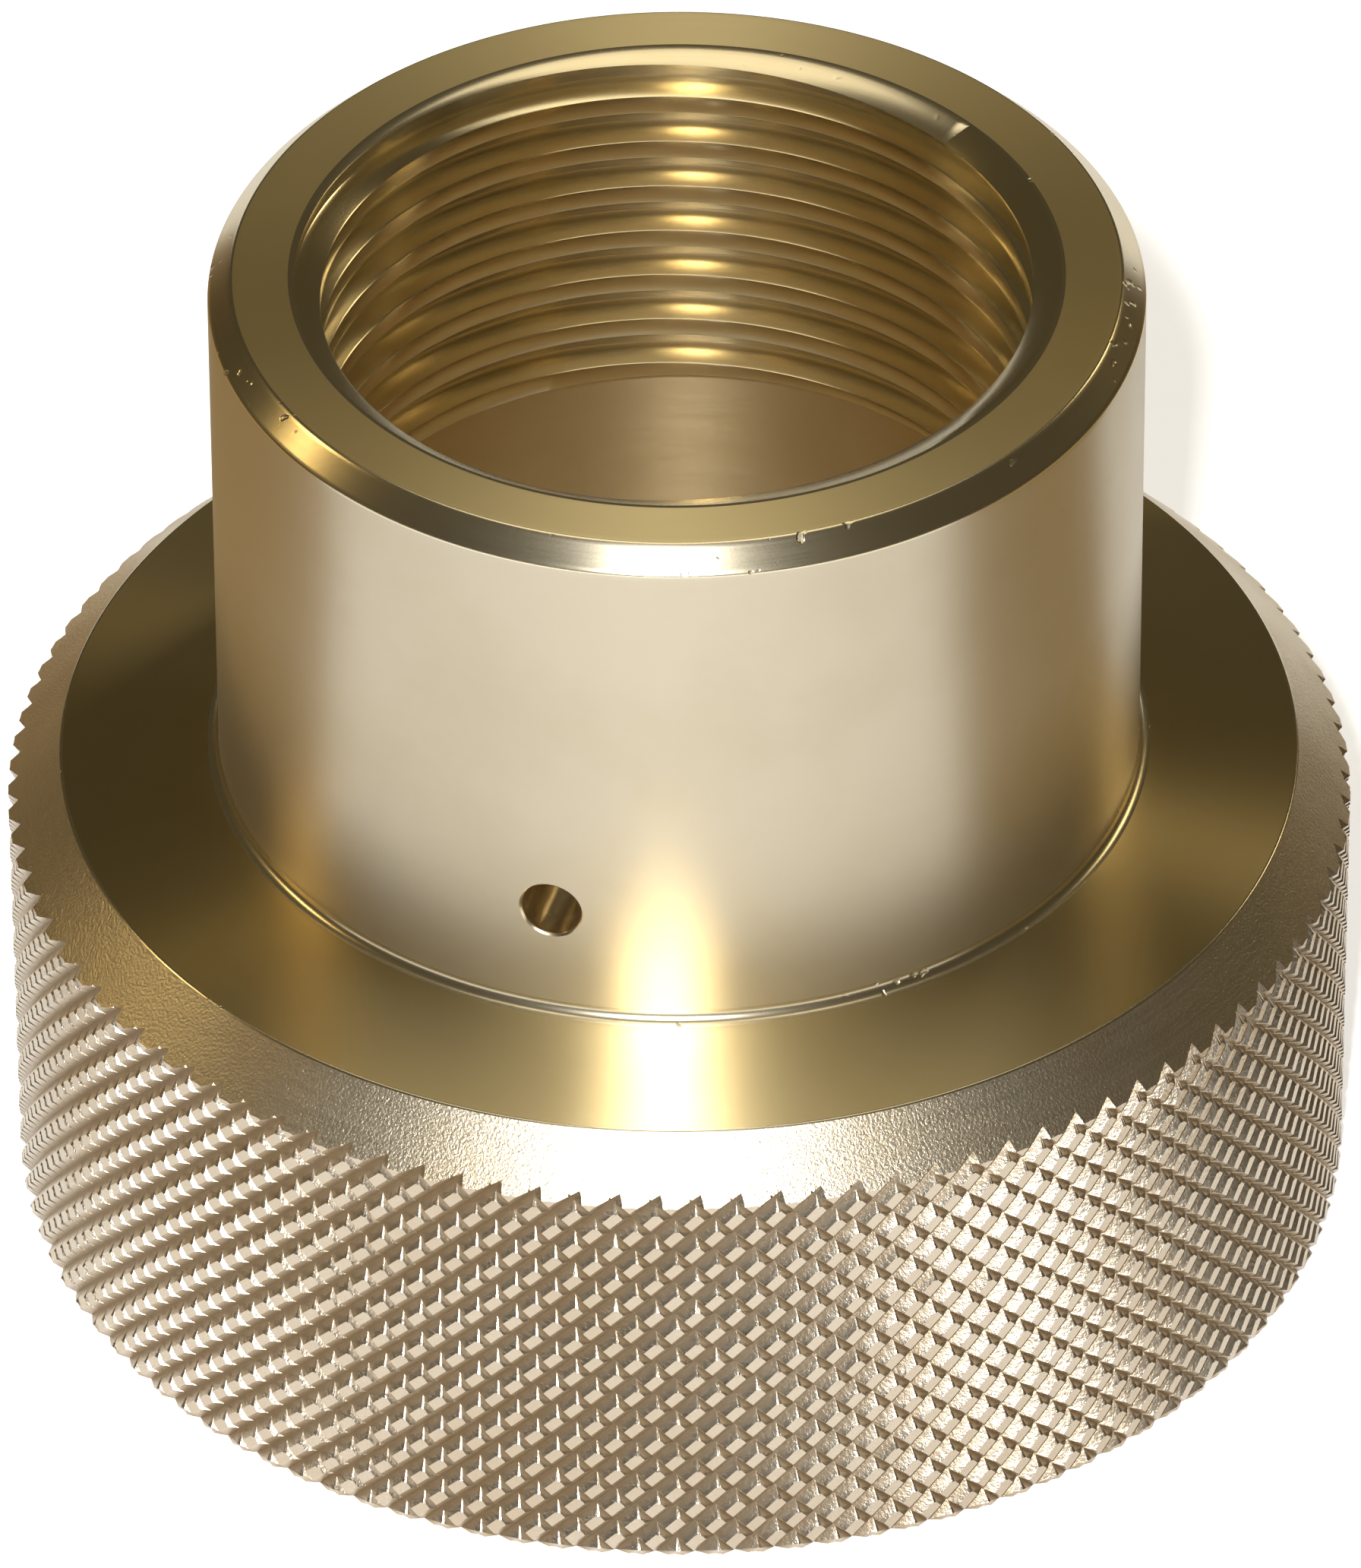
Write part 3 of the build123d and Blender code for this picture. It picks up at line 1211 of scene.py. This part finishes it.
@dataclass(frozen=True)
class BrassFinish:
    """One finish of the brass: its colours, gloss, cutting marks, grain and any painted shade in its grooves."""

    name: str
    colour: Colour
    deep: Colour
    roughness: float
    spread: float = 0.06            # how far the roughness wanders
    anisotropy: float = 0.0
    marks: Marks = Marks.TURNS
    mark_pitch: float = 0.12        # typical distance between marks, mm
    mark_depth: float = 0.6         # micrometres
    grain: float = 0.12             # size of the grain, mm
    grain_depth: float = 0.4        # micrometres
    mottle: float = 0.35            # share of the deeper colour in clouds
    nicks: float = 0.0              # how many small dents, 0 to 1
    groove_from: float = 0.0        # radii between which painted shade darkens the grooves, mm
    groove_to: float = 0.0
    groove_shade: float = 0.0               # how much of the groove bottoms' colour is painted shade

    def coordinates(self, sheet: MaterialSheet) -> Value:
        """Points whose noise runs long round the axis and short across the marks."""
        across = sheet.radius if self.marks is Marks.RINGS else sheet.z
        return sheet.vector(across * (PER_METRE / self.mark_pitch), sheet.turn * MARKS_ALONG,
                            sheet.radius * MARKS_ACROSS)

    def dents(self, sheet: MaterialSheet) -> Value:
        """Small dents that crowd in some areas.

        Args:
            sheet: the material's sheet.

        Returns:
            0 on the plain surface and 1 in a dent.
        """
        spots = sheet.noise(sheet.place, DENT_SCALE, 1.0, 0.4)
        areas = sheet.noise(sheet.place, DENTED_AREA_SCALE, 1.0).step(DENTED_AREA_START, DENTED_AREA_END)
        lower = DENT_SHIFT * self.nicks
        return spots.step(DENT_START - lower, DENT_END - lower) * areas

    def material(self) -> bpy.types.Material:
        """Builds the material of this finish.

        Returns:
            The material.
        """
        sheet = MaterialSheet(self.name)
        to_height = MICROMETRE * PER_METRE / MIDDLE     # from a depth in micrometres to a noise's factor
        grain = sheet.noise(sheet.place, PER_METRE / self.grain, 3.0, 0.6) - MIDDLE
        clouds = sheet.noise(sheet.place, CLOUD_SCALE, 4.0, 0.55)
        share = clouds.step(CLOUD_START, CLOUD_END) * self.mottle
        height = grain * (self.grain_depth * to_height)
        rough = (clouds - MIDDLE) * self.spread + grain * (self.spread * GRAIN_SHARE) + self.roughness
        if self.marks is not Marks.NONE:
            lines = sheet.noise(self.coordinates(sheet), 1.0, 3.0, 0.65) - MIDDLE
            height = height + lines * (self.mark_depth * to_height)
            share = share + lines * (self.mottle * MARK_TONE)
            rough = rough + lines * (self.spread * MARK_SHARE)
        if self.nicks > 0.0:
            dents = self.dents(sheet)
            height = height - dents * DENT_DEPTH
            rough = rough + dents * DENT_ROUGHNESS
        colour = sheet.mixed(share, self.colour, self.deep)
        # painted shade: the colour darkens towards the bottoms of the knurl's grooves
        if self.groove_shade > 0.0:
            depth = sheet.radius.step(self.groove_from * MM, self.groove_to * MM, 1.0, 0.0)
            colour = sheet.mixed(depth * self.groove_shade, colour, GROOVE_SHADE_COLOUR)
            rough = rough + depth * GROOVE_ROUGHNESS
        return sheet.finish(
            {"Metallic": 1.0, "Anisotropic": self.anisotropy, "Anisotropic Rotation": GRAIN_TURN},
            {"Base Color": colour, "Roughness": rough, "Normal": sheet.bump(height, MM)},
        )


FINISHES: dict[Zone, BrassFinish] = {
    # the knurl's groove settings paint shade into its grooves
    Zone.KNURL: BrassFinish(
        "knurled_brass", (0.69, 0.61, 0.50), (0.59, 0.485, 0.355), roughness=0.28, spread=0.10, marks=Marks.NONE,
        grain=0.22, grain_depth=16.0, mottle=0.5, groove_from=36.10, groove_to=36.53, groove_shade=0.55),
    Zone.RIM: BrassFinish(
        "rim_brass", (0.74, 0.65, 0.50), (0.52, 0.40, 0.24), roughness=0.34, spread=0.14, mark_depth=1.0,
        grain=0.17, grain_depth=17.0, mottle=0.6),
    Zone.FACE: BrassFinish(
        "faced_brass", (0.76, 0.64, 0.37), (0.66, 0.52, 0.26), roughness=0.36, anisotropy=0.92, marks=Marks.RINGS,
        mark_pitch=0.14),
    Zone.NECK: BrassFinish(
        "satin_brass", (0.615, 0.555, 0.44), (0.555, 0.49, 0.36), roughness=0.37, anisotropy=0.50, mark_pitch=0.10,
        mark_depth=1.8, mottle=0.5),
    Zone.EDGE: BrassFinish(
        "bright_edge_brass", (0.80, 0.72, 0.54), (0.68, 0.57, 0.34), roughness=0.24, anisotropy=0.3,
        mark_pitch=0.09, mark_depth=0.5, nicks=0.6),
    Zone.CROWN: BrassFinish(
        "crown_face_brass", (0.67, 0.55, 0.295), (0.55, 0.435, 0.20), roughness=0.54, anisotropy=0.6,
        marks=Marks.RINGS, mark_depth=0.7),
    Zone.THREAD: BrassFinish(
        "thread_brass", (0.92, 0.82, 0.58), (0.82, 0.67, 0.38), roughness=0.18, anisotropy=0.78, mark_pitch=0.10,
        mark_depth=0.7),
    Zone.BORE: BrassFinish(
        "bored_brass", (0.80, 0.65, 0.40), (0.66, 0.49, 0.24), roughness=0.30, spread=0.08, anisotropy=0.85,
        mark_pitch=0.75, mark_depth=3.0),
    Zone.HOLE: BrassFinish(
        "drilled_brass", (0.74, 0.62, 0.42), (0.56, 0.42, 0.24), roughness=0.26, spread=0.08, marks=Marks.NONE,
        grain=0.2, grain_depth=1.5),
}


# --------------------------------------------------------------------------------------------------
# studio


SENSOR = 36.0               # width of the camera's sensor, mm
CLIP_END = 20.0             # metres
MATT: dict[str, float] = {"Roughness": 0.9, "Specular IOR Level": 0.1}
CARD_LIFT = 0.0004          # metres above the floor
CARD_NEAR = ((0.060, CARD_LIFT), (0.15, CARD_LIFT))
CARD_FAR = ((0.4, CARD_LIFT), (2.5, CARD_LIFT), (2.55, 0.32))


def direction(azimuth: float, elevation: float) -> Vector:
    """Unit vector from the object; azimuth 0 is -Y and 90 is +X, both in degrees."""
    a, e = radians(azimuth), radians(elevation)
    return Vector((sin(a) * cos(e), -cos(a) * cos(e), sin(e)))


def grey(level: float) -> Colour:
    """A colour without tint."""
    return (level, level, level)


def sheet_object(name: str, points: np.ndarray, closed: bool) -> bpy.types.Object:
    """Makes a sheet of the studio that faces up and isn't part of the nut.

    Args:
        name: of the sheet.
        points: its grid of positions in metres, with rings going outwards.
        closed: whether its last column joins its first.

    Returns:
        The object, at the origin.
    """
    faces = ring_grid(points, closed=closed)[:, ::-1]
    mesh = bpy.data.meshes.new(name)
    mesh.from_pydata(points.reshape(-1, 3).tolist(), [], faces.tolist())
    made = bpy.data.objects.new(name, mesh)
    bpy.context.scene.collection.objects.link(made)
    return made


@dataclass(frozen=True)
class Softbox:
    """A rectangular lamp aimed at the nut, placed by azimuth and elevation from the camera's side."""

    name: str
    azimuth: float
    elevation: float
    distance: float
    size: tuple[float, float]
    power: float
    colour: Colour = (1.0, 1.0, 1.0)

    def build(self, towards: float, aim: Vector) -> None:
        """Adds the lamp.

        Args:
            towards: azimuth of the camera.
            aim: the point that it shines at.
        """
        data = bpy.data.lights.new(self.name, "AREA")
        data.shape = "RECTANGLE"
        data.size, data.size_y = self.size
        data.energy, data.color = self.power, self.colour
        lamp = bpy.data.objects.new(self.name, data)
        way = direction(towards + self.azimuth, self.elevation)
        lamp.location = aim + way * self.distance
        lamp.rotation_euler = way.to_track_quat("Z", "Y").to_euler()
        bpy.context.scene.collection.objects.link(lamp)


@dataclass(frozen=True)
class Card:
    """A brown card just above the floor beside the nut that shows only in what the metal mirrors: a painted dark
    reflection in the metal's sides.

    It is a piece of a surface of revolution between two azimuths from the camera's side.
    """

    name: str
    start: float                # azimuths in degrees
    end: float
    section: tuple[tuple[float, float], ...]    # radii and heights in metres
    tone: Colour
    columns: int = 25
    shade: float = 0.8          # of the darker fibres

    def build(self, towards: float) -> None:
        """Adds the card.

        Args:
            towards: azimuth of the camera.
        """
        turn = np.radians(np.linspace(self.start, self.end, self.columns) + towards - 90.0)
        card = sheet_object(self.name, lathed(self.section, turn), closed=False)
        card.visible_camera = card.visible_diffuse = card.visible_shadow = False
        sheet = MaterialSheet(self.name)
        fibre = sheet.noise(sheet.place, 200.0)
        face = sheet.mixed(fibre, self.tone, tuple(self.shade * part for part in self.tone))
        card.data.materials.append(sheet.finish(MATT, {"Base Color": face}))


@dataclass(frozen=True)
class PaleFloor:
    """The pale floor with a low curved backdrop all round, as one lathe-shaped sheet.

    Its glow makes the background white for the camera. In what the metal mirrors, it glows little beside the nut
    and more further out.
    """

    middle: float = 0.0001      # radius of the hole where the sheet starts, metres
    near: float = 0.3
    half: float = 1.0
    reach: float = 2.6          # where the backdrop starts
    rise: float = 0.3           # height of the backdrop
    columns: int = 96
    steps: int = 8
    tones: tuple[float, float] = (0.90, 0.93)
    camera_glow: float = 0.58
    mirrored_glow: tuple[float, float] = (0.10, 0.80)
    glow_radii: tuple[float, float] = (0.05, 0.9)

    def build(self) -> None:
        """Adds the floor and its material."""
        angle = np.linspace(0.0, 2 * pi, self.columns, endpoint=False)
        flat = [(radius, 0.0) for radius in (self.middle, self.near, self.half, self.reach)]
        backdrop = arc((self.reach, self.rise), self.rise, -80, 0, self.steps)
        floor = sheet_object("floor", lathed(flat + backdrop, angle), closed=True)
        floor.data.shade_smooth()
        sheet = MaterialSheet("pale_floor")
        colour = sheet.mixed(sheet.noise(sheet.place, 300.0), grey(self.tones[0]), grey(self.tones[1]))
        ray = sheet.node("ShaderNodeLightPath", {}, {}, None)
        camera, glossy, through = (Value(sheet, ray.outputs[f"Is {kind} Ray"])
                                   for kind in ("Camera", "Glossy", "Transmission"))
        glow = sheet.mixed(sheet.radius.step(*self.glow_radii), *map(grey, self.mirrored_glow))
        glow = sheet.mixed(glossy.math("MAXIMUM", through), grey(0.0), glow)
        glow = sheet.mixed(camera, glow, grey(self.camera_glow))
        floor.data.materials.append(sheet.finish(
            {**MATT, "Emission Strength": 1.0}, {"Base Color": colour, "Emission Color": glow}))


@dataclass(frozen=True)
class Studio:
    """Camera, floor, cards, room and lamps."""

    azimuth: float = 15.9       # of the camera, degrees
    elevation: float = 38.27
    distance: float = 0.9102
    aim_height: float = 0.02401
    aim_right: float = 0.00007
    roll: float = -0.27
    lens: float = 383.72093     # millimetres
    room: Colour = (0.060, 0.048, 0.026)
    # painted dark reflections: cards that only the metal's reflections show
    cards: tuple[Card, ...] = (
        Card("left_card", -150.0, -82.0, CARD_NEAR + CARD_FAR, (0.46, 0.33, 0.16)),
        Card("right_card", 62.0, 112.0, CARD_NEAR, (0.42, 0.31, 0.15)),
        Card("far_card", 62.0, 144.0, CARD_NEAR[1:] + CARD_FAR, (0.36, 0.26, 0.12)),
    )
    softboxes: tuple[Softbox, ...] = (
        Softbox("flash", -3.6, 41.0, 0.95, (0.035, 0.035), power=10.0),
        Softbox("overhead", 180.0, 80.0, 1.2, (0.8, 0.8), power=2.8, colour=(1.0, 0.90, 0.68)),
        Softbox("left_lamp", -103.0, 34.0, 1.2, (0.12, 0.25), power=0.85, colour=(1.0, 0.72, 0.30)),
        Softbox("back_lamp", 132.0, 32.0, 1.2, (0.2, 0.3), power=0.8, colour=(1.0, 0.80, 0.46)),
    )

    def camera(self) -> None:
        """Adds the camera: long lens, looking down at the nut from its front right."""
        data = bpy.data.cameras.new("camera")
        data.lens, data.sensor_width, data.clip_end = self.lens, SENSOR, CLIP_END
        camera = bpy.data.objects.new("camera", data)
        way = direction(self.azimuth, self.elevation)
        right = direction(self.azimuth + 90.0, 0.0)
        aim = Vector((0.0, 0.0, self.aim_height)) + right * self.aim_right
        turned = way.to_track_quat("Z", "Y").to_matrix() @ Matrix.Rotation(radians(self.roll), 3, "Z")
        camera.matrix_world = Matrix.Translation(aim + way * self.distance) @ turned.to_4x4()
        bpy.context.scene.collection.objects.link(camera)
        bpy.context.scene.camera = camera

    def world(self) -> None:
        """Gives the room above the backdrop a dim, slightly warm tone."""
        world = bpy.data.worlds.new("room")
        world.use_nodes = True
        background = world.node_tree.nodes["Background"]
        background.inputs["Color"].default_value = (*self.room, 1.0)
        background.inputs["Strength"].default_value = 1.0
        bpy.context.scene.world = world

    def build(self) -> None:
        """Sets up the whole studio."""
        self.camera()
        PaleFloor().build()
        for card in self.cards:
            card.build(self.azimuth)
        self.world()
        for softbox in self.softboxes:
            softbox.build(self.azimuth, Vector((0.0, 0.0, self.aim_height)))
        bpy.context.scene.view_settings.view_transform = "Standard"
        LOG.info("studio: %d cards, %d lamps", len(self.cards), len(self.softboxes))


def write_sizes() -> None:
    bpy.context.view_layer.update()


def main() -> None:
    """Builds the nut, its finishes and the studio."""
    logging.basicConfig(level=logging.INFO, format="%(name)s: %(message)s")
    nut = ThumbNut().build()
    for zone in Zone:
        nut.data.materials.append(FINISHES[zone].material())
    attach(nut, "root")
    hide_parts("knurled_nut")
    Studio().build()
    write_sizes()


if __name__ == "__main__":
    main()
